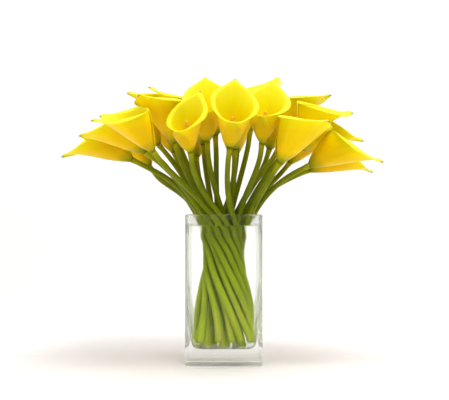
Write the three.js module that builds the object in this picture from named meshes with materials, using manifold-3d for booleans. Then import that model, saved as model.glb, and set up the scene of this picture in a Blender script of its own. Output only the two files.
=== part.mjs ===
// A hand-tied bunch of yellow calla lilies standing in water in a square clear glass vase.
// Millimetres, +Z up. The origin is the centre of the vase's flat underside, and -Y is the front.
import * as THREE from "three";
import { mergeVertices } from "three/addons/utils/BufferGeometryUtils.js";
import Module from "manifold-3d";

// ---- Driving dimensions

const GAP = 0.3; // kept between pieces that meet

const VASE = {
  width: 102, // outside, both ways
  height: 200,
  corner: 9, // radius of the upright outer corners
  foot: 2.5, // rounding of the bottom edge
  rimWall: 4.4,
  footWall: 8.4, // the wall thickens below the shoulder
  shoulder: 112, // height
  base: 23, // thickness of the glass under the water
  cove: 13, // rounding between the inside walls and the floor
};
const WATER = { freeboard: 16 }; // from the rim down to the water
const STEM = { footDiameter: 9.6, neckDiameter: 6.6, sides: 6, steps: 14 };
const BLOOM = {
  length: 80, // from the neck to the tip
  mouth: 48, // diameter at the rim
  flare: 3, // how far the lip turns out beyond that
  lowSide: 0.54, // height of the rim opposite the tip, as a share of the length
  shoulderSide: 0.86, // height of the rim beside the tip, as a share of the length
  recurve: 8, // how far the blade on the tip's side bends outwards
  wall: 1.6,
  sides: 10,
};
const SPADIX = { diameter: 6, length: 34, seat: 9 }; // seat: height of its foot in the spathe
const BUNCH = {
  clearance: 0.8, // least gap from a stem to its neighbours and to the glass
  bloomRoom: 3.8, // gap that the blooms' rough outlines keep
  waistDrop: 51, // from the vase's rim down to where the stems cross
  packing: 0.78, // share of the waist's circle that the stems fill
  splay: 1.45, // how hard the feet are spread against the walls
  twist: 70, // degrees that a stem turns round the bunch between its waist and its neck
  footTwist: 80, // degrees that it turns between its foot and its waist
  neckRise: 99, // from the rim up to the neck of a flower over the middle
  sag: 36, // how much lower the necks are at the reach
  reach: 122, // how far the outermost necks stand from the middle
  lean: 68, // degrees from upright at the reach to the side
  leanPower: 2, // how late that lean comes in on the way out
  depthLean: 40, // degrees at the reach towards the front and the back
};

// One row per flower. x and y: where its neck stands. rise and droop: how much higher it stands and how
// many degrees further it leans sideways than its place in the dome asks for. turn: degrees from the
// outer side of the flower round to its tip. size: a factor on the bloom.
const FLOWERS = [
  { x: 7, y: -80, rise: 4, droop: 6, turn: 170, size: 1.0 },
  { x: 70, y: -70, rise: -6, droop: 8, turn: -20, size: 1.12 },
  { x: 38, y: -50, rise: 2, droop: 0, turn: 145, size: 0.96 },
  { x: -38, y: -78, rise: 4, droop: 0, turn: 155, size: 0.88 },
  { x: -60, y: -48, rise: 4, droop: 2, turn: 10, size: 1.0 },
  { x: -80, y: -78, rise: 20, droop: 8, turn: -14, size: 1.04 },
  { x: -100, y: -44, rise: 12, droop: 8, turn: 20, size: 1.04 },
  { x: -112, y: -6, rise: 16, droop: 6, turn: 5, size: 1.08 },
  { x: -104, y: 32, rise: 8, droop: 4, turn: 20, size: 1.0 },
  { x: 108, y: -36, rise: 2, droop: 10, turn: 8, size: 1.12 },
  { x: 104, y: 6, rise: 8, droop: 8, turn: -10, size: 1.0 },
  { x: 82, y: -16, rise: 8, droop: 8, turn: 20, size: 1.06 },
  { x: 110, y: 38, rise: 4, droop: 12, turn: 0, size: 1.04 },
  { x: 58, y: 2, rise: 8, droop: 8, turn: -20, size: 1.06 },
  { x: 28, y: 6, rise: 0, droop: 4, turn: 20, size: 1.02 },
  { x: -16, y: 8, rise: 0, droop: 2, turn: -40, size: 1.02 },
  { x: -60, y: 10, rise: 6, droop: 6, turn: 15, size: 1.02 },
  { x: -84, y: -8, rise: 8, droop: 8, turn: -25, size: 1.04 },
  { x: -14, y: -42, rise: -6, droop: 2, turn: 190, size: 1.0 },
  { x: 17, y: -34, rise: -4, droop: 2, turn: 165, size: 0.93 },
  { x: -44, y: -14, rise: 0, droop: 4, turn: -10, size: 1.0 },
  { x: -86, y: 62, rise: 10, droop: 4, turn: 10, size: 1.0 },
  { x: -60, y: 50, rise: 2, droop: 4, turn: -20, size: 1.0 },
  { x: -26, y: 50, rise: 0, droop: 2, turn: 30, size: 1.0 },
  { x: 18, y: 44, rise: 0, droop: 2, turn: -30, size: 1.0 },
  { x: 54, y: 46, rise: 0, droop: 4, turn: 20, size: 1.0 },
  { x: 84, y: 60, rise: 2, droop: 8, turn: -10, size: 1.0 },
  { x: -40, y: 90, rise: 4, droop: 0, turn: 10, size: 1.0 },
  { x: 16, y: 88, rise: 4, droop: 0, turn: -20, size: 1.0 },
];

const GLASS = new THREE.MeshStandardMaterial({
  color: 0xf4f8f6, roughness: 0.03, metalness: 0, transparent: true, opacity: 0.25,
});
const LIQUID = new THREE.MeshStandardMaterial({
  color: 0xeef4f2, roughness: 0.02, metalness: 0, transparent: true, opacity: 0.2,
});
const STALK = new THREE.MeshStandardMaterial({ color: 0x86a02a, roughness: 0.45, metalness: 0 });
const PETAL = new THREE.MeshStandardMaterial({ color: 0xf2cf12, roughness: 0.5, metalness: 0 });

const wasm = await Module();
wasm.setup();

const radians = THREE.MathUtils.degToRad;
const mix = THREE.MathUtils.lerp;
const clamp = THREE.MathUtils.clamp;
const QUARTER = Math.PI / 2;

// ---- Closed shapes from rings

function middleOf(points) {
  return points.reduce((sum, p) => sum.add(p), new THREE.Vector3()).divideScalar(points.length);
}

// A closed mesh through rings of equally many points, each counter-clockwise seen from where they lead.
function loft(rings) {
  const around = rings[0].length;
  const lastRing = (rings.length - 1) * around;
  const points = [...rings.flat(), middleOf(rings[0]), middleOf(rings.at(-1))];
  const [startCap, endCap] = [points.length - 2, points.length - 1];
  const faces = [];
  for (let j = 0; j < around; j++) {
    const k = (j + 1) % around;
    for (let i = 0; i < lastRing; i += around) {
      faces.push(i + j, i + k, i + around + k, i + j, i + around + k, i + around + j);
    }
    faces.push(startCap, k, j, endCap, lastRing + j, lastRing + k);
  }
  return new THREE.BufferGeometry().setFromPoints(points).setIndex(faces);
}

// A ring of count points, each placed from its angle.
function ring(count, place) {
  return Array.from({ length: count }, (_, i) => place((i / count) * 4 * QUARTER));
}

// A level square outline with round corners.
const CORNER_STEPS = 4;
function squareRing(half, corner, z) {
  const points = [];
  for (let quarter = 0; quarter < 4; quarter++) {
    const middle = (quarter + 0.5) * QUARTER;
    for (let step = 0; step <= CORNER_STEPS; step++) {
      const angle = (quarter + step / CORNER_STEPS) * QUARTER;
      const x = Math.sign(Math.cos(middle)) * (half - corner) + corner * Math.cos(angle);
      const y = Math.sign(Math.sin(middle)) * (half - corner) + corner * Math.sin(angle);
      points.push(new THREE.Vector3(x, y, z));
    }
  }
  return points;
}

// ---- The vase

const INNER_CORNER = VASE.corner - VASE.rimWall / 2;
const FLOOR_CORNER = 1; // radius of the inside corners where the cove meets the floor
const COVE_STEPS = 4;
const WALL_STATIONS = [0.3, 0.6, 1]; // heights of the inside outlines, as shares of the way to the shoulder

// Half of the vase's inside width at a height, without the cove.
function wallHalf(z) {
  const down = clamp((VASE.shoulder - z) / (VASE.shoulder - VASE.base), 0, 1);
  return VASE.width / 2 - mix(VASE.rimWall, VASE.footWall, THREE.MathUtils.smoothstep(down, 0, 1));
}

// The height of the inside floor at a distance from the middle: flat, then up the cove.
function floorHeight(distance) {
  const into = clamp(distance - (wallHalf(VASE.base) - VASE.cove), 0, VASE.cove);
  return VASE.base + VASE.cove - Math.sqrt(VASE.cove ** 2 - into ** 2);
}

// The inside of the vase as level outlines from a height down to the floor, drawn in by inset.
function insideRings(top, inset) {
  const coveTop = VASE.base + VASE.cove;
  const walls = WALL_STATIONS.map((share) => mix(coveTop, VASE.shoulder, share)).reverse();
  const rings = [top, ...walls, coveTop].map((z) => squareRing(wallHalf(z) - inset, INNER_CORNER, z));
  for (let step = 1; step <= COVE_STEPS; step++) {
    const share = step / COVE_STEPS;
    const z = coveTop - VASE.cove * Math.sin(share * QUARTER) + inset * share;
    const half = wallHalf(VASE.base) - VASE.cove * (1 - Math.cos(share * QUARTER)) - inset;
    rings.push(squareRing(half, mix(INNER_CORNER, FLOOR_CORNER, share), z));
  }
  return rings;
}

function vase() {
  const lip = VASE.rimWall / 4; // rounding of the rim's edges
  const shell = (inset, z) => squareRing(VASE.width / 2 - inset, VASE.corner - inset, z);
  const outside = [
    shell(VASE.foot, 0),
    shell(VASE.foot * 0.3, VASE.foot * 0.3),
    shell(0, VASE.foot),
    shell(0, VASE.height - lip),
    shell(lip, VASE.height),
  ];
  const innerLip = squareRing(wallHalf(VASE.height) + lip, INNER_CORNER + lip / 2, VASE.height);
  return loft([...outside, innerLip, ...insideRings(VASE.height - lip, 0)]);
}

// ---- How the bunch settles in the vase

const PATH_POINTS = 36; // along each stem, from its foot to its neck
const CARRIED_POINTS = 3; // of them, at the top, that lie along the bloom's axis
const SETTLE_PASSES = 600;
const HOMING = 0.03; // how fast the necks first return to their places
const WAIST = { height: VASE.height - BUNCH.waistDrop, band: 48, straight: 2, widening: 0.55 };

// The balls that stand for a bloom: where along its mean height, how far to its tip's side, and how large,
// in its own radii.
const BLOOM_BALLS = [
  { share: 0.14, aside: 0, plump: 1 },
  { share: 0.34, aside: 0, plump: 1 },
  { share: 0.56, aside: 0, plump: 1 },
  { share: 0.8, aside: 0, plump: 1.06 },
  { share: 0.98, aside: 0.05, plump: 1.04 },
  { share: 1.12, aside: 0.72, plump: 0.5 },
];

function stemRadius(share) {
  return mix(STEM.footDiameter, STEM.neckDiameter, share) / 2;
}

// The spathe's outside radius at a share of the way from its neck to its rim.
function spatheRadius(share, size) {
  const neck = STEM.neckDiameter / 2;
  const belly = 1 - (1 - share) ** 1.8;
  return neck + ((size * BLOOM.mouth) / 2 - neck) * belly + size * BLOOM.flare * share ** 6;
}

// How far from the middle the outermost stems cross.
function waistRadius() {
  const pitch = (STEM.footDiameter + STEM.neckDiameter) / 2 + BUNCH.clearance;
  return (pitch / 2) * (Math.sqrt(FLOWERS.length / BUNCH.packing) - 1);
}

// A stem's path before its neighbours push it. rank is its share of the way out through the bunch.
function route(neck, axis, rank) {
  const azimuth = Math.atan2(neck.y, neck.x);
  const crossing = (turn, radius, z) => {
    const angle = azimuth + radians(turn);
    return new THREE.Vector3(Math.cos(angle) * radius, Math.sin(angle) * radius, z);
  };
  return new THREE.CatmullRomCurve3([
    crossing(BUNCH.twist + BUNCH.footTwist, wallHalf(VASE.base) * BUNCH.splay * rank, VASE.base),
    crossing(BUNCH.twist, waistRadius() * rank, WAIST.height),
    neck.clone().addScaledVector(axis, (WAIST.height - neck.z) / 4),
    neck,
  ]).getSpacedPoints(PATH_POINTS - 1);
}

// Each flower's neck, the axis of its bloom, the side of its tip and its stem's path.
function gather() {
  const reachOf = (f) => Math.hypot(f.x, f.y) / BUNCH.reach;
  const fromMiddle = [...FLOWERS].sort((a, b) => reachOf(a) - reachOf(b));
  return FLOWERS.map((f) => {
    const sideways = BUNCH.lean * (Math.abs(f.x) / BUNCH.reach) ** BUNCH.leanPower + f.droop;
    const slope = (angle, along) => Math.tan(radians(angle)) * Math.sign(along);
    const outward = new THREE.Vector3(slope(sideways, f.x), slope(BUNCH.depthLean * f.y / BUNCH.reach, 1), 0);
    const axis = outward.clone().setZ(1).normalize();
    const tipSide = outward.projectOnPlane(axis).normalize().applyAxisAngle(axis, radians(f.turn));
    const height = VASE.height + BUNCH.neckRise - BUNCH.sag * reachOf(f) ** 2 + f.rise;
    const neck = new THREE.Vector3(f.x, f.y, height);
    const rank = Math.sqrt((fromMiddle.indexOf(f) + 0.5) / FLOWERS.length);
    return { size: f.size, neck, home: neck.clone(), axis, tipSide, path: route(neck, axis, rank) };
  });
}

// Sets out to the middle of one of a bloom's balls and returns its radius.
function bloomBall({ size, neck, axis, tipSide }, { share, aside, plump }, out) {
  const radius = spatheRadius(Math.min(share, 1), size);
  const meanHeight = (BLOOM.length * size * (1 + BLOOM.lowSide)) / 2;
  out.copy(neck).addScaledVector(axis, share * meanHeight).addScaledVector(tipSide, aside * radius);
  return radius * plump;
}

// The move that takes a from b until they are reach apart, or null where they already are.
const line = new THREE.Vector3();
function shortfall(a, b, reach) {
  const distance = line.subVectors(a, b).length();
  if (distance >= reach || distance === 0) return null;
  return line.multiplyScalar((reach - distance) / distance);
}

const ballA = new THREE.Vector3();
const ballB = new THREE.Vector3();

function separateBlooms(a, b) {
  for (const i of BLOOM_BALLS) {
    const radiusA = bloomBall(a, i, ballA);
    for (const j of BLOOM_BALLS) {
      const move = shortfall(ballA, ballB, radiusA + bloomBall(b, j, ballB) + BUNCH.bloomRoom);
      if (!move) continue;
      move.multiplyScalar(0.5);
      a.neck.add(move);
      b.neck.sub(move);
      ballA.add(move);
    }
  }
}

// Keeps each point of one stem clear of the nearest place on the other.
const LOOK = 14; // how far up or down a near place can be
const side = new THREE.Vector3();
const nearest = new THREE.Vector3();
function separateStems(a, b) {
  for (let i = 0; i < PATH_POINTS; i++) {
    const p = a.path[i];
    const reach = stemRadius(i / PATH_POINTS) * 2 + BUNCH.clearance;
    for (let j = 0; j < PATH_POINTS - 1; j++) {
      const [q, r] = [b.path[j], b.path[j + 1]];
      if (Math.abs(p.z - q.z) > LOOK) continue;
      side.subVectors(r, q);
      const share = clamp(nearest.subVectors(p, q).dot(side) / side.lengthSq(), 0, 1);
      const move = shortfall(p, nearest.copy(q).addScaledVector(side, share), reach);
      if (!move) continue;
      move.multiplyScalar(0.5);
      p.add(move);
      q.addScaledVector(move, share - 1);
      r.addScaledVector(move, -share);
    }
  }
}

function separateStemFromBloom(stem, bloom) {
  for (const ball of BLOOM_BALLS) {
    const radius = bloomBall(bloom, ball, ballB) + BUNCH.clearance;
    for (let i = PATH_POINTS >> 1; i < PATH_POINTS - CARRIED_POINTS; i++) {
      const p = stem.path[i];
      const move = shortfall(p, ballB, radius + stemRadius(i / PATH_POINTS));
      if (move) p.add(move);
    }
  }
}

// A stem bends evenly: each point moves half-way to where its four neighbours ask for.
function easeBends({ path }) {
  const wanted = new THREE.Vector3();
  for (let i = 2; i < PATH_POINTS - 2; i++) {
    wanted.addVectors(path[i - 1], path[i + 1]).multiplyScalar(4);
    wanted.sub(path[i - 2]).sub(path[i + 2]).divideScalar(6);
    path[i].lerp(wanted, 0.5);
  }
  path[1].lerp(wanted.addVectors(path[0], path[2]).divideScalar(2), 0.5);
}

// Lays the top of a stem along its bloom's axis. The bloom first follows its share of the push on that top.
function carry({ path, neck, axis }, follow) {
  const step = path[0].distanceTo(path.at(-1)) / (PATH_POINTS - 1);
  const carried = path.slice(-CARRIED_POINTS).reverse();
  const place = (i) => neck.clone().addScaledVector(axis, -i * step);
  const drift = new THREE.Vector3();
  carried.forEach((p, i) => drift.add(p).sub(place(i)));
  neck.addScaledVector(drift, follow / CARRIED_POINTS);
  carried.forEach((p, i) => p.copy(place(i)));
}

// Keeps a stem inside the glass, drawn in at the waist, and standing on the floor.
function hold({ path }) {
  path.forEach((p, i) => {
    const radius = stemRadius(i / PATH_POINTS) + BUNCH.clearance;
    if (p.z < VASE.height + radius) {
      const most = wallHalf(p.z) - radius;
      p.x = clamp(p.x, -most, most);
      p.y = clamp(p.y, -most, most);
    }
    const away = Math.abs(p.z - WAIST.height);
    const limit = waistRadius() + WAIST.widening * Math.max(away - WAIST.straight, 0);
    const squeeze = mix(1, Math.min(limit / Math.hypot(p.x, p.y), 1), 0.5);
    if (away < WAIST.band) p.set(p.x * squeeze, p.y * squeeze, p.z);
  });
  const foot = path[0];
  foot.z = floorHeight(Math.max(Math.abs(foot.x), Math.abs(foot.y)) + stemRadius(0)) + 3 * GAP;
}

function settle(flowers) {
  const eachPair = (act) => flowers.forEach((a) => flowers.forEach((b) => a !== b && act(a, b)));
  for (let pass = 0; pass < SETTLE_PASSES; pass++) {
    const homing = HOMING * Math.max(0, 1 - (2 * pass) / SETTLE_PASSES);
    eachPair(separateBlooms);
    flowers.forEach((flower) => {
      flower.neck.lerp(flower.home, homing);
      easeBends(flower);
      carry(flower, 0);
    });
    eachPair(separateStems);
    eachPair(separateStemFromBloom);
    flowers.forEach((flower) => {
      carry(flower, 1);
      hold(flower);
    });
  }
  return flowers;
}

// ---- The flowers

// A tapering round stalk along a stem's path, fattened by extra, with its foot cut level.
function stalk({ path }, extra) {
  const curve = new THREE.CatmullRomCurve3(path);
  const { normals, binormals } = curve.computeFrenetFrames(STEM.steps, false);
  const rings = normals.map((normal, i) => {
    const centre = curve.getPointAt(i / STEM.steps);
    const radius = stemRadius(i / STEM.steps) + extra;
    return ring(STEM.sides, (angle) => {
      const point = centre.clone().addScaledVector(normal, Math.cos(angle) * radius);
      point.addScaledVector(binormals[i], Math.sin(angle) * radius);
      return i ? point : point.setZ(centre.z - extra);
    });
  });
  return loft(rings);
}

// How near a direction round the spathe is to its tip: 1 there and 0 opposite.
function tipward(angle) {
  return 1 - Math.abs(Math.atan2(Math.sin(angle), Math.cos(angle))) / Math.PI;
}

// The height of the spathe's rim: low opposite the tip, and drawn out to a point.
function rimHeight(angle, size) {
  const oblique = mix(BLOOM.lowSide, BLOOM.shoulderSide, (1 + Math.cos(angle)) / 2);
  return BLOOM.length * size * (oblique + (1 - BLOOM.shoulderSide) * tipward(angle) ** 6);
}

// A spathe rolled into a trumpet with the spadix standing in it, grown as one piece.
function bloom({ neck, axis, tipSide, size }) {
  const across = new THREE.Vector3().crossVectors(axis, tipSide);
  const place = (radius, height, angle) =>
    neck.clone()
      .addScaledVector(axis, height + GAP)
      .addScaledVector(tipSide, radius * Math.cos(angle))
      .addScaledVector(across, radius * Math.sin(angle));
  const spathe = (share, inset) =>
    ring(BLOOM.sides, (angle) => {
      const bent = size * BLOOM.recurve * tipward(angle) ** 2 * share ** 4;
      return place(spatheRadius(share, size) + bent - inset, share * rimHeight(angle, size) - bent / 3, angle);
    });
  const spadix = (width, rise) =>
    ring(BLOOM.sides, (angle) =>
      place((width * SPADIX.diameter) / 2, SPADIX.seat + rise * SPADIX.length, angle));
  return loft([
    ...[0, 0.13, 0.34, 0.64, 0.86, 1].map((share) => spathe(share, 0)),
    ...[1, 0.86, 0.64, 0.34, 0.17].map((share) => spathe(share, BLOOM.wall)),
    spadix(0.8, 0),
    spadix(1, 0.6),
    spadix(0.5, 1),
  ]);
}

// ---- The water, with a hole for each stem

function solid(geometry) {
  const merged = mergeVertices(geometry);
  return new wasm.Manifold(new wasm.Mesh({
    numProp: 3,
    vertProperties: merged.attributes.position.array,
    triVerts: new Uint32Array(merged.index.array),
  }));
}

function geometryOf(body) {
  const mesh = body.getMesh();
  return new THREE.BufferGeometry()
    .setAttribute("position", new THREE.BufferAttribute(mesh.vertProperties, 3))
    .setIndex(new THREE.BufferAttribute(mesh.triVerts, 1));
}

function water(flowers) {
  const full = solid(loft(insideRings(VASE.height - WATER.freeboard, GAP).reverse()));
  const body = flowers.reduce((left, flower) => left.subtract(solid(stalk(flower, GAP))), full);
  return geometryOf(body.decompose().sort((a, b) => b.volume() - a.volume())[0]);
}

// ---- The assembly

const part = new THREE.Group();

function add(name, geometry, material) {
  const mesh = new THREE.Mesh(geometry, material);
  mesh.name = name;
  part.add(mesh);
}

const flowers = settle(gather());
add("vase", vase(), GLASS);
add("water", water(flowers), LIQUID);
flowers.forEach((flower, i) => {
  const number = String(i + 1).padStart(2, "0");
  add(`stem_${number}`, stalk(flower, 0), STALK);
  add(`bloom_${number}`, bloom(flower), PETAL);
});

export default part;
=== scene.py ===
"""Yellow calla lilies in a square glass vase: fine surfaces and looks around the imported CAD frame."""
import math
import random

import bpy
import numpy as np
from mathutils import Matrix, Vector, noise


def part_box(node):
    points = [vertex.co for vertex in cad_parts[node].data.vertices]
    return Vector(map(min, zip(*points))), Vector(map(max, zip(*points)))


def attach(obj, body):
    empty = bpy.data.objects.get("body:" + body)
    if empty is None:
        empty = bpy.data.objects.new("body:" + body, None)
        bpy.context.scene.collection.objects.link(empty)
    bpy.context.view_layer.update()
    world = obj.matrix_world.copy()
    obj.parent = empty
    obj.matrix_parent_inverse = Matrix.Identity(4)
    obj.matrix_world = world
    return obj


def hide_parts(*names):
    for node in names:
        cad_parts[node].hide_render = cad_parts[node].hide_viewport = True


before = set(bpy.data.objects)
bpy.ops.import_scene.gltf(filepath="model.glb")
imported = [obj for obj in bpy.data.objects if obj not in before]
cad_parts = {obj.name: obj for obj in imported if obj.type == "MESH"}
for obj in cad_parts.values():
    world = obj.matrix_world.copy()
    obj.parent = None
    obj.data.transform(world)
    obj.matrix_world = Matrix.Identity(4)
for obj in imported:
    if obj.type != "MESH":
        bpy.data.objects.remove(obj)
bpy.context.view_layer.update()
MM = 0.001


# ---- Small helpers

def smoothstep(low, high, x):
    t = min(max((x - low) / (high - low), 0.0), 1.0)
    return t * t * (3 - 2 * t)


def mix(a, b, t):
    return a + (b - a) * t


def mesh_object(name, points, faces, materials):
    """A smooth-shaded mesh in the scene."""
    mesh = bpy.data.meshes.new(name)
    mesh.from_pydata([tuple(p) for p in points], [], faces)
    mesh.validate()
    for material in materials:
        mesh.materials.append(material)
    mesh.shade_smooth()
    piece = bpy.data.objects.new(name, mesh)
    bpy.context.scene.collection.objects.link(piece)
    return piece


def place(piece, node):
    """Hands a piece to the frame, as the fine shape of a CAD node."""
    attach(piece, "root")
    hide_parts(node)


def ring_faces(rings, around, closed=True):
    """Quads between rings of equally many points."""
    faces = []
    for i in range(rings - 1):
        for j in range(around if closed else around - 1):
            k = (j + 1) % around
            faces.append((i * around + j, i * around + k, (i + 1) * around + k, (i + 1) * around + j))
    return faces


def end_caps(count, around):
    """The two faces that close a tube of count points: its first ring and its last."""
    return [tuple(range(around))[::-1], tuple(range(count - around, count))]


def quarter_turn(steps):
    """The angles of a quarter circle, both ends included."""
    return [step / steps * math.pi / 2 for step in range(steps + 1)]


def points_of(node):
    """A CAD node's distinct vertices."""
    flat = np.empty(len(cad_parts[node].data.vertices) * 3)
    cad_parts[node].data.vertices.foreach_get("co", flat)
    return np.unique(np.round(flat.reshape(-1, 3), 6), axis=0)


# ---- Materials

class Shader:
    """A node material: self.add makes a node, and an input given as a node or socket is linked."""

    def __init__(self, name):
        self.material = bpy.data.materials.new(name)
        self.material.use_nodes = True
        self.tree = self.material.node_tree
        self.tree.nodes.clear()
        self.output = self.add("ShaderNodeOutputMaterial")

    def add(self, kind, settings=None, **inputs):
        node = self.tree.nodes.new(kind)
        for key, value in (settings or {}).items():
            setattr(node, key, value)
        for key, value in inputs.items():
            self.put(node, key.replace("_", " "), value)
        return node

    def put(self, node, key, value):
        target = node.inputs[int(key)] if key.isdigit() else node.inputs[key]
        if isinstance(value, bpy.types.Node):
            value = value.outputs[0]
        if isinstance(value, bpy.types.NodeSocket):
            self.tree.links.new(value, target)
        else:
            target.default_value = value

    def ramp(self, factor, stops):
        node = self.tree.nodes.new("ShaderNodeValToRGB")
        elements = node.color_ramp.elements
        while len(elements) < len(stops):
            elements.new(0.5)
        for element, (position, colour) in zip(elements, stops):
            element.position = position
            element.color = (*colour, 1)
        self.put(node, "Fac", factor)
        return node

    def math(self, operation, a, b=0.0, clamp=False):
        node = self.tree.nodes.new("ShaderNodeMath")
        node.operation = operation
        node.use_clamp = clamp
        self.put(node, "0", a)
        self.put(node, "1", b)
        return node

    def blend(self, factor, a, b, mode="MIX"):
        node = self.tree.nodes.new("ShaderNodeMix")
        node.data_type = "RGBA"
        node.blend_type = mode
        for index, value in ((0, factor), (6, a), (7, b)):
            if isinstance(value, tuple) and len(value) == 3:
                value = (*value, 1)
            self.put(node, str(index), value)
        return node.outputs[2]

    def object_space(self):
        return self.add("ShaderNodeTexCoord").outputs["Object"]

    def attribute(self, name):
        return self.add("ShaderNodeAttribute", {"attribute_name": name})

    def noise(self, vector, scale, detail=2.0, roughness=0.5):
        return self.add("ShaderNodeTexNoise", Vector=vector, Scale=scale, Detail=detail, Roughness=roughness)

    def above(self, value, start, gain):
        """How far a value passes start, times gain, kept within 0 and 1."""
        return self.math("MULTIPLY", self.math("SUBTRACT", value, start, True), gain, True)

    def toned(self, factor, colour, tone):
        """The colour, multiplied by tone where factor is 1."""
        return self.blend(factor, colour, self.blend(1.0, colour, tone, "MULTIPLY"))

    def principled(self, colour, settings=None, **inputs):
        """The surface shader. settings are the uniform values set straight on it."""
        shader = self.add("ShaderNodeBsdfPrincipled", **inputs)
        self.put(shader, "Base Color", colour)
        for key, value in (settings or {}).items():
            shader.inputs[key].default_value = value
        return shader

    def done(self, surface):
        self.put(self.output, "Surface", surface)
        return self.material


def uv_parts(shader):
    """The UV's two numbers: round the flower or stem, and along it."""
    return shader.add("ShaderNodeSeparateXYZ", Vector=shader.add("ShaderNodeUVMap", {"uv_map": "UVMap"}))


# Linear colours of the heads, from the neck up. Some hold painted light and shade, as noted below.
NECK_GREEN = (0.15, 0.21, 0.004)
# Partly the neck's own green turning yellow, partly painted shade at the foot of the heads.
LIME = (0.46, 0.42, 0.004)
# Partly the heads' own gold, partly painted shade low on the head.
GOLD = (0.81, 0.545, 0.0)
YELLOW = (0.83, 0.68, 0.0)
# Partly the heads' own lemon, partly painted light on the tops and rims.
LEMON = (0.82, 0.78, 0.003)
# Painted shade deep in the tube.
THROAT = (0.45, 0.36, 0.01)
# Partly the margin's own paler yellow, partly painted highlight on the lip.
PALE_MARGIN = (0.88, 0.86, 0.04)
NIB_GREEN = (0.16, 0.2, 0.02)

# Tones that multiply a colour.
OUTER_VEIN = (0.96, 0.8, 0.4)
INNER_VEIN = (0.97, 0.88, 0.5)
# Painted shade: a darker, more olive tone for some heads, given at random.
SHADED_HEAD_TONE = (1.0, 0.87, 0.5)
# Pale fibre streaks along the stems, partly their own and partly painted highlight.
PALE_FIBRE_AND_HIGHLIGHT = (1.5, 1.35, 1.1)
# Painted shade in soft patches on the stems.
DARK_SHADE_PATCH = (0.5, 0.62, 0.5)

# Linear colours of the stems, from the foot up. The darker stretch from halfway up to just below the neck is
# painted shade of the crowded bundle.
STALK_STOPS_AND_SHADE = [
    (0.0, (0.33, 0.44, 0.006)),
    (0.3, (0.27, 0.365, 0.003)),
    (0.5, (0.16, 0.215, 0.002)),
    (0.8, (0.15, 0.185, 0.002)),
    (0.94, (0.2, 0.235, 0.002)),
    (1.0, (0.36, 0.36, 0.002)),
]
SOAKED_BEIGE = (0.5, 0.37, 0.16)
SOAKED_FADE = 4.2  # how fast the beige streaks fade on the way up a stem

# Each run goes from painted shade low on the head to painted light at the rim, over the heads' own greens
# and yellows.
OUTSIDE_STOPS = [(0.0, NECK_GREEN), (0.12, LIME), (0.28, GOLD), (0.66, GOLD), (0.88, YELLOW), (1.0, LEMON)]
INSIDE_STOPS = [(0.0, THROAT), (0.18, GOLD), (0.42, YELLOW), (0.68, LEMON), (1.0, PALE_MARGIN)]
BLUSH_SHIFT = 0.22  # how far the blush moves the colours up and down the spathe


def spathe_material(name, stops, vein_tone):
    """Waxy yellow from the given stops, which hold painted light and shade, shifted by a soft blush, with
    fine veins, painted shade over some whole heads and a green nib at the tip.
    """
    s = Shader(name)
    uv = uv_parts(s)
    along = uv.outputs["Y"]
    coordinates = s.object_space()
    veins_at = s.add("ShaderNodeCombineXYZ", X=s.math("MULTIPLY", uv.outputs["X"], 60.0),
                     Y=s.math("MULTIPLY", along, 2.2))
    veins = s.noise(veins_at, scale=1.0, detail=3.0, roughness=0.55)
    blush = s.noise(coordinates, scale=38.0, detail=3.0, roughness=0.6)
    shift = s.math("MULTIPLY", s.math("SUBTRACT", blush, 0.5), BLUSH_SHIFT)
    base = s.ramp(s.math("ADD", along, shift), stops)
    veined = s.toned(s.above(veins, start=0.42, gain=1.1), base.outputs[0], vein_tone)
    # Painted shade over whole heads, as much as each head's tint says.
    shaded_head = s.toned(s.attribute("tint").outputs["Fac"], veined, SHADED_HEAD_TONE)
    colour = s.blend(s.attribute("nib").outputs["Fac"], shaded_head, NIB_GREEN)
    pores = s.noise(coordinates, scale=900.0)
    relief = s.math("ADD", s.math("MULTIPLY", veins, 0.8), s.math("MULTIPLY", pores, 0.2))
    wax = {
        "Subsurface Weight": 0.35,
        "Subsurface Radius": (1.0, 0.85, 0.1),
        "Subsurface Scale": 6 * MM,
        "Specular IOR Level": 0.16,
        "Specular Tint": (1.0, 0.92, 0.3, 1),
    }
    return s.done(s.principled(
        colour, wax,
        Roughness=s.math("ADD", 0.33, s.math("MULTIPLY", blush, 0.2)),
        Normal=s.add("ShaderNodeBump", Strength=0.35, Distance=0.6 * MM, Height=relief),
    ))


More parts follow.
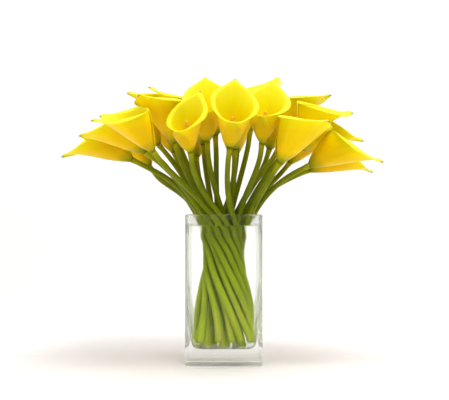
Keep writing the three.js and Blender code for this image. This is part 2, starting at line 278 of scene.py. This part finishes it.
def stem_material():
    """Smooth green, paler down in the water and darker higher up with painted shade, with pale fibres that
    are partly painted highlight, dark patches of painted shade and soaked beige streaks.
    """
    s = Shader("stalk")
    uv = uv_parts(s)
    along = uv.outputs["Y"]
    fibres_at = s.add("ShaderNodeCombineXYZ", X=s.math("MULTIPLY", uv.outputs["X"], 26.0),
                      Y=s.math("MULTIPLY", along, 5.0), Z=s.attribute("tint"))
    fibres = s.noise(fibres_at, scale=1.0, detail=4.0, roughness=0.6)
    patches = s.noise(s.object_space(), scale=26.0, detail=3.0, roughness=0.55)
    # The ramp carries painted shade on the upper stems.
    base = s.ramp(along, STALK_STOPS_AND_SHADE)
    # Pale streaks: fibres, and painted highlight.
    streaked = s.toned(s.above(fibres, start=0.4, gain=1.6), base.outputs[0], PALE_FIBRE_AND_HIGHLIGHT)
    # Painted shade: soft dark patches over the stems.
    shade_mottled = s.toned(s.above(patches, start=0.45, gain=1.8), streaked, DARK_SHADE_PATCH)
    foot = s.math("SUBTRACT", 1.0, s.math("MULTIPLY", along, SOAKED_FADE), True)
    soaked = s.math("MULTIPLY", foot, s.above(fibres, start=0.5, gain=5.0), True)
    skin = {
        "Subsurface Weight": 0.12,
        "Subsurface Radius": (0.5, 1.0, 0.2),
        "Subsurface Scale": 3 * MM,
        "Specular IOR Level": 0.2,
        "Specular Tint": (0.85, 1.0, 0.25, 1),
    }
    return s.done(s.principled(
        s.blend(soaked, shade_mottled, SOAKED_BEIGE), skin,
        Roughness=s.math("ADD", 0.28, s.math("MULTIPLY", patches, 0.25)),
        Normal=s.add("ShaderNodeBump", Strength=0.3, Distance=0.4 * MM, Height=fibres),
    ))


def cut_material():
    """The pale cut end of a stem, with its pores."""
    s = Shader("stalk_cut")
    pores = s.add("ShaderNodeTexVoronoi", Vector=s.object_space(), Scale=1400.0)
    base = s.ramp(pores.outputs["Distance"], [(0.0, (0.30, 0.36, 0.10)), (0.5, (0.52, 0.58, 0.24))])
    return s.done(s.principled(base, Roughness=0.6))


def spadix_material():
    """Golden, with the grains of its tiny flowers."""
    s = Shader("spadix")
    grains = s.add("ShaderNodeTexVoronoi", Vector=s.object_space(), Scale=900.0).outputs["Distance"]
    base = s.ramp(grains, [(0.0, (0.95, 0.66, 0.05)), (0.6, (0.75, 0.40, 0.01))])
    bump = s.add("ShaderNodeBump", Strength=0.5, Distance=0.5 * MM, Height=grains)
    return s.done(s.principled(base, Roughness=0.7, Normal=bump))


SOFT_MIRROR = (0.35, 0.35, 0.32, 1)  # holds back the white studio's reflection in the flat front


def clear_material(name, ior, tint, haze, shade, density, straight):
    """Clear glass or water. Light for the things inside it passes straight through, and so does a share
    of what is seen through it, straight, which keeps the outlines pale. haze is its most roughness, and
    shade and density are those of its volume."""
    s = Shader(name)
    coordinates = s.object_space()
    ripple = s.noise(coordinates, scale=14.0)
    depth = s.add("ShaderNodeVolumeAbsorption")
    depth.inputs["Color"].default_value = (*shade, 1)
    depth.inputs["Density"].default_value = density
    s.put(s.output, "Volume", depth)
    glass = s.principled(
        (*tint, 1), {"IOR": ior, "Transmission Weight": 1.0, "Specular Tint": SOFT_MIRROR},
        Roughness=s.math("MULTIPLY", s.noise(coordinates, scale=60.0), haze),
        Normal=s.add("ShaderNodeBump", Strength=0.15, Distance=0.8 * MM, Height=ripple),
    )
    clear = s.add("ShaderNodeBsdfTransparent", Color=(*tint, 1))
    path = s.add("ShaderNodeLightPath")
    lighting = s.math("MAXIMUM", path.outputs["Is Shadow Ray"], path.outputs["Is Diffuse Ray"])
    through = s.math("MAXIMUM", lighting, straight)
    return s.done(s.add("ShaderNodeMixShader", **{"0": through, "1": glass, "2": clear}))


OUTSIDE = spathe_material("spathe_outside", OUTSIDE_STOPS, OUTER_VEIN)
INSIDE = spathe_material("spathe_inside", INSIDE_STOPS, INNER_VEIN)
STALK = stem_material()
CUT = cut_material()
SPADIX_SKIN = spadix_material()
GLASS = clear_material("clear_glass", ior=1.5, tint=(0.99, 0.995, 0.99), haze=0.006,
                       shade=(0.52, 0.55, 0.53), density=2.4, straight=0.34)
WATER = clear_material("clear_water", ior=1.333, tint=(0.995, 1.0, 0.99), haze=0.002,
                       shade=(0.8, 0.9, 0.7), density=1.0, straight=0.0)


# ---- The vase and the water

VASE_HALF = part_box("vase")[1].x
VASE_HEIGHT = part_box("vase")[1].z
OUTER_CORNER = 9 * MM
RIM_ROUND = 1.1 * MM
FOOT_ROUND = 2.5 * MM
INNER_CORNER = 6.8 * MM
FLOOR_CORNER = 2 * MM  # the inner corner where the cove meets the floor
LEAST_WALL = 3.5 * MM  # thinner than the glass anywhere, which tells its inside from its outside
COVE_WIDTH = 12 * MM  # a little less than the cove takes of the floor on each side
CORNER_STEPS = 10
ROUND_STEPS = 6
COVE_STEPS = 12
WALL_STEPS = 6
BITE = 0.15 * MM  # the water reaches just into the glass, so that no air shows between them
MENISCUS = {"climb": 1.6 * MM, "width": 3.2 * MM, "curl": 2.2, "steps": 6}
MENISCUS_START = 3 * MM  # how far below the level the water's straight side ends


def inner_walls():
    """The vase's inside as (height, half width), read from the CAD node, from the rim down to the floor."""
    points = points_of("vase")
    inside = points[np.abs(points[:, :2]).max(1) < VASE_HALF - LEAST_WALL]
    inside = inside[inside[:, 2] > FOOT_ROUND * 2]
    levels = sorted({round(z, 5) for z in inside[:, 2]}, reverse=True)
    return [(z, np.abs(inside[np.abs(inside[:, 2] - z) < 1e-5][:, 0]).max()) for z in levels]


def square_ring(half, corner, z):
    """A level square outline with round corners."""
    points = []
    for quarter in range(4):
        middle = (quarter + 0.5) * math.pi / 2
        for step in range(CORNER_STEPS + 1):
            angle = (quarter + step / CORNER_STEPS) * math.pi / 2
            x = math.copysign(half - corner, math.cos(middle)) + corner * math.cos(angle)
            y = math.copysign(half - corner, math.sin(middle)) + corner * math.sin(angle)
            points.append((x, y, z))
    return points


def closed_loft(name, rings, material):
    around = len(rings[0])
    points = [p for ring in rings for p in ring]
    faces = ring_faces(len(rings), around) + end_caps(len(points), around)
    return mesh_object(name, points, faces, [material])


def inside_profile():
    """(height, half width, corner) from the rim down, with the cove as a quarter ellipse."""
    walls = inner_walls()
    straight = [w for w in walls if w[1] > walls[-1][1] + COVE_WIDTH]
    top_of_cove, cove_half = straight[-1]
    floor_z, floor_half = walls[-1]
    profile = []
    for (z0, h0), (z1, h1) in zip(straight, straight[1:]):
        shares = [i / WALL_STEPS for i in range(WALL_STEPS)]
        profile += [(mix(z0, z1, t), mix(h0, h1, t), INNER_CORNER) for t in shares]
    for step, angle in enumerate(quarter_turn(COVE_STEPS)):
        z = top_of_cove - (top_of_cove - floor_z) * math.sin(angle)
        half = cove_half - (cove_half - floor_half) * (1 - math.cos(angle))
        profile.append((z, half, mix(INNER_CORNER, FLOOR_CORNER, step / COVE_STEPS)))
    return profile


INSIDE_PROFILE = inside_profile()


def build_vase():
    top_half = INSIDE_PROFILE[0][1]
    rings = []
    for angle in quarter_turn(ROUND_STEPS):
        inset = FOOT_ROUND * (1 - math.sin(angle))
        z = FOOT_ROUND * (1 - math.cos(angle))
        rings.append(square_ring(VASE_HALF - inset, OUTER_CORNER - inset, z))
    for angle in quarter_turn(ROUND_STEPS):
        inset = RIM_ROUND * (1 - math.cos(angle))
        z = VASE_HEIGHT - RIM_ROUND * (1 - math.sin(angle))
        rings.append(square_ring(VASE_HALF - inset, OUTER_CORNER - inset, z))
    rings.append(square_ring((VASE_HALF + top_half) / 2, (OUTER_CORNER + INNER_CORNER) / 2, VASE_HEIGHT))
    for angle in quarter_turn(ROUND_STEPS):
        inset = RIM_ROUND * (1 - math.sin(angle))
        z = VASE_HEIGHT - RIM_ROUND * (1 - math.cos(angle))
        rings.append(square_ring(top_half + inset, INNER_CORNER + inset, z))
    rings += [square_ring(half, corner, z) for z, half, corner in INSIDE_PROFILE[1:]]
    place(closed_loft("vase_glass", rings, GLASS), "vase")


def half_at(z):
    """Half the vase's inner width at a height."""
    heights = [p[0] for p in INSIDE_PROFILE][::-1]
    halves = [p[1] for p in INSIDE_PROFILE][::-1]
    return float(np.interp(z, heights, halves))


def build_water():
    """The water fills the inside and climbs the glass a little in a meniscus."""
    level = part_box("water")[1].z
    half_width = half_at(level)
    climb = MENISCUS["climb"]
    rings = [square_ring(half + BITE, corner + BITE, z - BITE)
             for z, half, corner in INSIDE_PROFILE[::-1] if z < level - MENISCUS_START]
    rings.append(square_ring(half_width + BITE, INNER_CORNER + BITE, level + climb))
    for step in range(1, MENISCUS["steps"] + 1):
        away = step / MENISCUS["steps"]
        z = level + climb * (1 - away) ** MENISCUS["curl"]
        rings.append(square_ring(half_width - MENISCUS["width"] * away, INNER_CORNER, z))
    place(closed_loft("water_body", rings, WATER), "water")


# ---- Stems

STEM_SIDES = 20
STEM_STEPS = 72
RING_REACH = 7 * MM  # points of a CAD stem this near each other belong to one ring
STEM_SEED = 7.3  # from one stem's noise to the next one's
SWELL = {"from": 0.975, "by": 0.25}  # the stem widens into its bloom over the last share of its length
FLOWERS = sorted(n[-2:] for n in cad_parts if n.startswith("stem_"))


def stem_rings(node):
    """The middle and radius of each ring of a CAD stem, from the foot up."""
    points = points_of(node)
    left = set(range(len(points)))
    clusters = []
    while left:
        group, edge = set(), [left.pop()]
        while edge:
            i = edge.pop()
            group.add(i)
            near = [j for j in left if np.linalg.norm(points[j] - points[i]) < RING_REACH]
            left.difference_update(near)
            edge += near
        members = points[sorted(group)]
        centre = members.mean(0)
        radius = np.linalg.norm(members - centre, axis=1).max()
        clusters.append((centre, radius))
    chain = [min(clusters, key=lambda c: c[0][2])]
    rest = [c for c in clusters if c is not chain[0]]
    while rest:
        chain.append(min(rest, key=lambda c: np.linalg.norm(c[0] - chain[-1][0])))
        rest = [c for c in rest if c is not chain[-1]]
    return np.array([c[0] for c in chain]), np.array([c[1] for c in chain])


def spline(values, count):
    """Values read at count even places along a Catmull-Rom curve through them."""
    values = np.asarray(values, float)
    padded = np.concatenate([[2 * values[0] - values[1]], values, [2 * values[-1] - values[-2]]])
    out = []
    for along in np.linspace(0, len(values) - 1, count):
        i = min(int(along), len(values) - 2)
        t = along - i
        a, b, c, d = padded[i:i + 4]
        out.append(0.5 * (2 * b + (c - a) * t + (2 * a - 5 * b + 4 * c - d) * t ** 2
                          + (3 * b - a - 3 * c + d) * t ** 3))
    return np.array(out)


def tube_frames(path):
    """Two unit vectors across the path at each point, turning as little as they can."""
    tangents = np.gradient(path, axis=0)
    tangents /= np.linalg.norm(tangents, axis=1)[:, None]
    across = np.cross(tangents[0], (1.0, 0.3, 0.1))
    frames = []
    for t in tangents:
        across = across - t * across.dot(t)
        across = across / np.linalg.norm(across)
        frames.append((across, np.cross(t, across)))
    return frames


def add_uv(mesh, coordinates):
    """A UV map from one pair of numbers per vertex."""
    layer = mesh.uv_layers.new(name="UVMap")
    for loop in mesh.loops:
        layer.data[loop.index].uv = coordinates[loop.vertex_index]


def add_value(mesh, name, values):
    """A number on each vertex that the materials read by its name."""
    layer = mesh.attributes.new(name, "FLOAT", "POINT")
    for i, value in enumerate(values):
        layer.data[i].value = value


def build_stem(number, centres, radii):
    """A round stalk, slightly uneven, with its foot cut level."""
    path = spline(centres, STEM_STEPS)
    widths = spline(radii, STEM_STEPS)
    frames = tube_frames(path)
    seed = int(number) * STEM_SEED
    points, uv = [], []
    for i, (centre, width, (across, up)) in enumerate(zip(path, widths, frames)):
        share = i / (STEM_STEPS - 1)
        swell = 1 + SWELL["by"] * smoothstep(SWELL["from"], 1.0, share)
        for j in range(STEM_SIDES):
            angle = j / STEM_SIDES * 2 * math.pi
            around = Vector((math.cos(angle) * 0.7, math.sin(angle) * 0.7, share * 9 + seed))
            uneven = 1 + 0.045 * noise.noise(around) + 0.02 * math.cos(3 * angle + seed)
            point = centre + (across * math.cos(angle) + up * math.sin(angle)) * width * swell * uneven
            if i == 0:
                point[2] = centre[2]
            points.append(point)
            uv.append((j / STEM_SIDES, share))
    walls = ring_faces(STEM_STEPS, STEM_SIDES)
    faces = walls + end_caps(len(points), STEM_SIDES)
    stem = mesh_object(f"stalk_{number}", points, faces, [STALK, CUT])
    stem.data.polygons[len(walls)].material_index = 1
    add_uv(stem.data, uv)
    add_value(stem.data, "tint", [seed] * len(points))
    place(stem, f"stem_{number}")


# ---- Blooms

AROUND = 96
BODY_STEPS = 34
LIP_STEPS = 9
OVERLAP = 0.95  # radians by which each margin passes the back of the tube
SHEET = 0.85 * MM
BLOOM_REACH = 85.1 * MM  # from the neck to the tip of a bloom of size 1
BLOOM_LENGTH = 80 * MM
MOUTH = 24 * MM
FLARE = 3 * MM
RECURVE = 8 * MM
NIB = 4.5 * MM
LOW_SIDE = 0.54  # height of the rim at the back of the tube, as a share of the length
SHOULDER = 0.86  # height of the rim beside the tip, as a share of the length
LIP_FROM = 0.93  # the lip's place in the material's run from the neck to the margin
COLLAR_POINTS = 11  # a CAD bloom's points at the neck: a ring of ten and its middle
NIB_ANGLE = 0.42  # radians to each side of the tip that are drawn out into the nib
GREEN_ANGLE = 0.2  # radians to each side of the tip that are green
SPADIX = {"radius": 2.9 * MM, "foot": 7 * MM, "grain": 0.16 * MM, "rows": 64, "around": 30, "dome": 0.2}


class Bloom:
    """Where a CAD bloom stands: its neck, axis, tip side and size."""

    def __init__(self, number, stem_end):
        points = points_of(f"bloom_{number}")
        order = np.argsort(np.linalg.norm(points - stem_end, axis=1))
        collar = points[order[:COLLAR_POINTS]]
        self.neck = collar.mean(0)
        self.neck_radius = np.linalg.norm(collar - self.neck, axis=1).max()
        normal = np.linalg.svd(collar - self.neck)[2][2]
        reach = points - self.neck
        self.axis = normal if reach.mean(0).dot(normal) > 0 else -normal
        tip = reach[np.linalg.norm(reach, axis=1).argmax()]
        self.size = np.linalg.norm(tip) / BLOOM_REACH
        side = tip - self.axis * tip.dot(self.axis)
        self.tip_side = side / np.linalg.norm(side)
        self.across = np.cross(self.axis, self.tip_side)
        from_axis = np.linalg.norm(reach - np.outer(reach.dot(self.axis), self.axis), axis=1)
        self.spadix_top = reach[from_axis < 1 * MM].dot(self.axis).max()

    def at(self, radius, height, angle):
        """The point at an angle round from the tip's side."""
        return (self.neck + self.axis * height + self.tip_side * radius * math.cos(angle)
                + self.across * radius * math.sin(angle))


def tipward(angle):
    """1 at the tip's side and 0 at the back of the tube."""
    return 1 - min(abs(angle) / math.pi, 1)


def past_back(angle):
    """How far a margin has passed the back of the tube: 0 up to there and 1 at its edge."""
    return max(abs(angle) - math.pi, 0) / OVERLAP


def sideward(angle):
    """1 beside the tube and 0 at the tip's side and at the back."""
    return math.sin(min(abs(angle), math.pi)) ** 2


class Spathe:
    """The sheet of one spathe: where each place on it stands, by its angle and its share of the way up."""

    def __init__(self, bloom, rng):
        self.bloom = bloom
        self.size = bloom.size
        self.waves = [(k, rng.uniform(0.5, 1) * strength, rng.uniform(0, 2 * math.pi))
                      for k, strength in ((2, 1.0), (3, 0.8), (5, 0.45))]
        self.folds = rng.uniform(0, 100)
        self.hand = rng.choice((-1, 1))
        self.low = LOW_SIDE + rng.uniform(-0.03, 0.02)
        self.lip = rng.uniform(0.85, 1.2)

    def wave(self, angle):
        """The unevenness of the rim, different on each head."""
        return sum(a * math.sin(k * angle + p) for k, a, p in self.waves) / 2

    def rim_height(self, angle):
        oblique = mix(self.low, SHOULDER, (1 + math.cos(min(abs(angle), math.pi))) / 2)
        return BLOOM_LENGTH * self.size * (oblique + (1 - SHOULDER) * tipward(angle) ** 6)

    def margin(self, angle):
        """The margins slant down where they pass one another at the back of the tube."""
        return 1 - 0.75 * past_back(angle) ** 1.4

    def lip_radius(self, angle):
        """The rolled lip is widest beside the tube and at the tip."""
        tight = 1.5 + 1.3 * sideward(angle) + 1.6 * tipward(angle) ** 4 + 0.45 * self.wave(angle)
        return max(tight, 0.8) * MM * self.lip * (1 - 0.7 * smoothstep(0, 1, past_back(angle)))

    def lip_turn(self, angle):
        """How far the lip rolls over, most of all beside the tube."""
        degrees = 75 + 80 * sideward(angle) + 25 * self.wave(angle)
        return math.radians(degrees) * (1 - 0.6 * past_back(angle))

    def body(self, share, angle):
        """Radius and height at a share of the way up to where the lip starts to roll."""
        size = self.size
        belly = 1 - (1 - share) ** 1.8
        radius = self.bloom.neck_radius + (MOUTH * size - self.bloom.neck_radius) * belly
        radius += size * (FLARE * share ** 6 + RECURVE * tipward(angle) ** 2 * share ** 4)
        radius -= 1.1 * MM * size * math.sin(math.pi * share) ** 2
        height = share * (self.rim_height(angle) - size * RECURVE * tipward(angle) ** 2 / 3 * share ** 3)
        radius -= 1.5 * self.lip_radius(angle) * share ** 3
        height -= 0.3 * self.lip_radius(angle) * share
        fold = noise.noise(Vector((math.cos(angle) * 1.6, math.sin(angle) * 1.6, self.folds + share * 1.2)))
        ease = smoothstep(0.05, 0.5, share)
        radius += (1.3 * MM * fold + 1.5 * MM * self.wave(angle) * share ** 3) * ease
        layer = self.hand * angle / (math.pi + OVERLAP)
        return radius + layer * 0.8 * MM * smoothstep(0.0, 0.12, share), height

    def place(self, step, angle):
        """Radius and height of a point of the sheet, and its share of the way from neck to margin."""
        margin = self.margin(angle)
        if step <= BODY_STEPS:
            share = step / BODY_STEPS * margin
            radius, height = self.body(share, angle)
            return radius, height, share * LIP_FROM
        r0, h0 = self.body(margin, angle)
        r1, h1 = self.body(margin * 0.97, angle)
        lean = math.atan2(r0 - r1, h0 - h1)
        along = (step - BODY_STEPS) / LIP_STEPS
        turn = self.lip_turn(angle) * along
        rho = self.lip_radius(angle)
        radius = r0 + rho * (math.cos(lean) - math.cos(lean + turn))
        height = h0 + rho * (math.sin(lean + turn) - math.sin(lean))
        point = max(1 - abs(angle) / NIB_ANGLE, 0) ** 2 * along ** 1.5
        radius += point * NIB * 0.85
        height += point * NIB * 0.1
        return radius, height, mix(LIP_FROM, 1, along) * margin

    def nib(self, step, angle):
        """How green the sheet is: only the point of the tip is."""
        along = max(step - BODY_STEPS, 0) / LIP_STEPS
        return max(1 - abs(angle) / GREEN_ANGLE, 0) * smoothstep(0.3, 0.9, along)


def build_spathe(number, bloom, rng):
    """The rolled sheet, from its neck to its margin, thickened inwards."""
    sheet = Spathe(bloom, rng)
    ends = math.pi + OVERLAP
    rows = BODY_STEPS + LIP_STEPS + 1
    points, uv, nib = [], [], []
    for step in range(rows):
        for j in range(AROUND + 1):
            angle = mix(-ends, ends, j / AROUND)
            radius, height, share = sheet.place(step, angle)
            points.append(bloom.at(radius, max(height, 0.0), angle))
            uv.append(((angle / ends + 1) / 2, share))
            nib.append(sheet.nib(step, angle))
    faces = ring_faces(rows, AROUND + 1, closed=False)
    spathe = mesh_object(f"spathe_{number}", points, faces, [OUTSIDE, INSIDE])
    add_uv(spathe.data, uv)
    add_value(spathe.data, "nib", nib)
    # How much painted shade this head gets, at random.
    add_value(spathe.data, "tint", [rng.uniform(0, 1) ** 1.5] * len(points))
    solid = spathe.modifiers.new("sheet", "SOLIDIFY")
    solid.thickness = SHEET
    solid.offset = -1
    solid.material_offset = 1
    solid.material_offset_rim = 1
    solid.use_even_offset = True
    place(spathe, f"bloom_{number}")


def build_spadix(number, bloom):
    """A finger with a domed end, covered in small grains."""
    rows, around = SPADIX["rows"], SPADIX["around"]
    points = []
    for i in range(rows + 1):
        share = i / rows
        height = mix(SPADIX["foot"], bloom.spadix_top, share)
        dome = math.sqrt(max(1 - (max(share - 1 + SPADIX["dome"], 0) / SPADIX["dome"]) ** 2, 0))
        taper = dome * (0.8 + 0.2 * smoothstep(0, 0.4, share))
        for j in range(around):
            angle = j / around * 2 * math.pi
            grain = math.cos(8 * angle + share * 95) * math.cos(8 * angle - share * 95)
            bump = SPADIX["grain"] * grain if taper > 0.3 else 0
            points.append(bloom.at(SPADIX["radius"] * max(taper, 0.02) + bump, height, angle))
    faces = ring_faces(rows + 1, around) + end_caps(len(points), around)
    spadix = mesh_object(f"spadix_{number}", points, faces, [SPADIX_SKIN])
    place(spadix, f"bloom_{number}")


def build_flowers():
    for number in FLOWERS:
        rng = random.Random(int(number) * 101)
        centres, radii = stem_rings(f"stem_{number}")
        build_stem(number, centres, radii)
        bloom = Bloom(number, centres[-1])
        build_spathe(number, bloom, rng)
        build_spadix(number, bloom)


# ---- Stage, light and camera

STAGE = {"half_width": 4.0, "front": -2.0, "back": 1.0, "bend": 0.6, "top": 3.0}
# PAPER_DIM and PAPER_BRIGHT: painted shade and light in soft clouds over the paper.
PAPER_DIM = (0.745, 0.72, 0.715)
PAPER_BRIGHT = (0.8, 0.787, 0.785)
WORLD_COLOUR = (1.0, 0.985, 0.97, 1)
WORLD_STRENGTH = 0.42
CAMERA_AT = (0.001, -1.6, 0.219)
LENS = 95.3  # millimetres


def paper_material():
    """White paper with a faint grain and soft uneven painted shade."""
    s = Shader("paper_backdrop")
    coordinates = s.object_space()
    grain = s.noise(coordinates, scale=40.0, detail=4.0)
    clouds = s.noise(coordinates, scale=1.3, detail=1.0)
    shade = s.math("ADD", s.math("MULTIPLY", clouds, 0.85), s.math("MULTIPLY", grain, 0.15))
    # Painted shade: the clouds darken the paper here and there.
    base = s.ramp(shade, [(0.38, PAPER_DIM), (0.6, PAPER_BRIGHT)])
    return s.done(s.principled(base, Roughness=0.8))


def build_stage():
    """A floor that bends up into the backdrop."""
    back, bend, half_width = STAGE["back"], STAGE["bend"], STAGE["half_width"]
    angles = np.linspace(0.1, math.pi / 2, 16)
    profile = [(STAGE["front"], 0.0), (back, 0.0)]
    profile += [(back + bend * math.sin(a), bend * (1 - math.cos(a))) for a in angles]
    profile.append((back + bend, STAGE["top"]))
    points = [(x, y, z) for y, z in profile for x in (-half_width, half_width)]
    faces = [(2 * i, 2 * i + 1, 2 * i + 3, 2 * i + 2) for i in range(len(profile) - 1)]
    mesh_object("backdrop", points, faces, [paper_material()])


def area_light(name, location, target, size, power, colour=(1, 1, 1)):
    """A rectangular lamp in watts, turned to its target."""
    light = bpy.data.lights.new(name, "AREA")
    light.shape = "RECTANGLE"
    light.size, light.size_y = size
    light.energy = power
    light.color = colour
    lamp = bpy.data.objects.new(name, light)
    lamp.location = location
    lamp.rotation_euler = (Vector(target) - Vector(location)).to_track_quat("-Z", "Y").to_euler()
    bpy.context.scene.collection.objects.link(lamp)


def build_light():
    """A pale room, a soft key from above the camera, a fill from the left and a light on the backdrop."""
    world = bpy.data.worlds.new("studio")
    world.use_nodes = True
    room = world.node_tree.nodes["Background"]
    room.inputs["Color"].default_value = WORLD_COLOUR
    room.inputs["Strength"].default_value = WORLD_STRENGTH
    bpy.context.scene.world = world
    area_light("key", location=(0.35, -0.75, 1.75), target=(0, 0, 0.28), size=(1.0, 1.0), power=27,
               colour=(1.0, 0.985, 0.96))
    area_light("fill", location=(-1.4, -0.7, 0.8), target=(0, 0, 0.2), size=(0.9, 0.9), power=6)
    area_light("backdrop_light", location=(0.3, 0.35, 2.1), target=(0, 1.5, 0.5), size=(2.4, 1.0), power=34,
               colour=(1.0, 0.985, 0.975))
    bounces = bpy.context.scene.cycles
    bounces.max_bounces = 24
    bounces.glossy_bounces = 16
    bounces.transmission_bounces = 24
    bounces.transparent_max_bounces = 24


def build_camera():
    camera = bpy.data.cameras.new("camera")
    camera.lens = LENS
    eye = bpy.data.objects.new("camera", camera)
    eye.location = CAMERA_AT
    eye.rotation_euler = (math.pi / 2, 0, 0)
    bpy.context.scene.collection.objects.link(eye)
    bpy.context.scene.camera = eye
    bpy.context.scene.view_settings.view_transform = "Standard"


build_camera()
build_stage()
build_light()
build_vase()
build_water()
build_flowers()
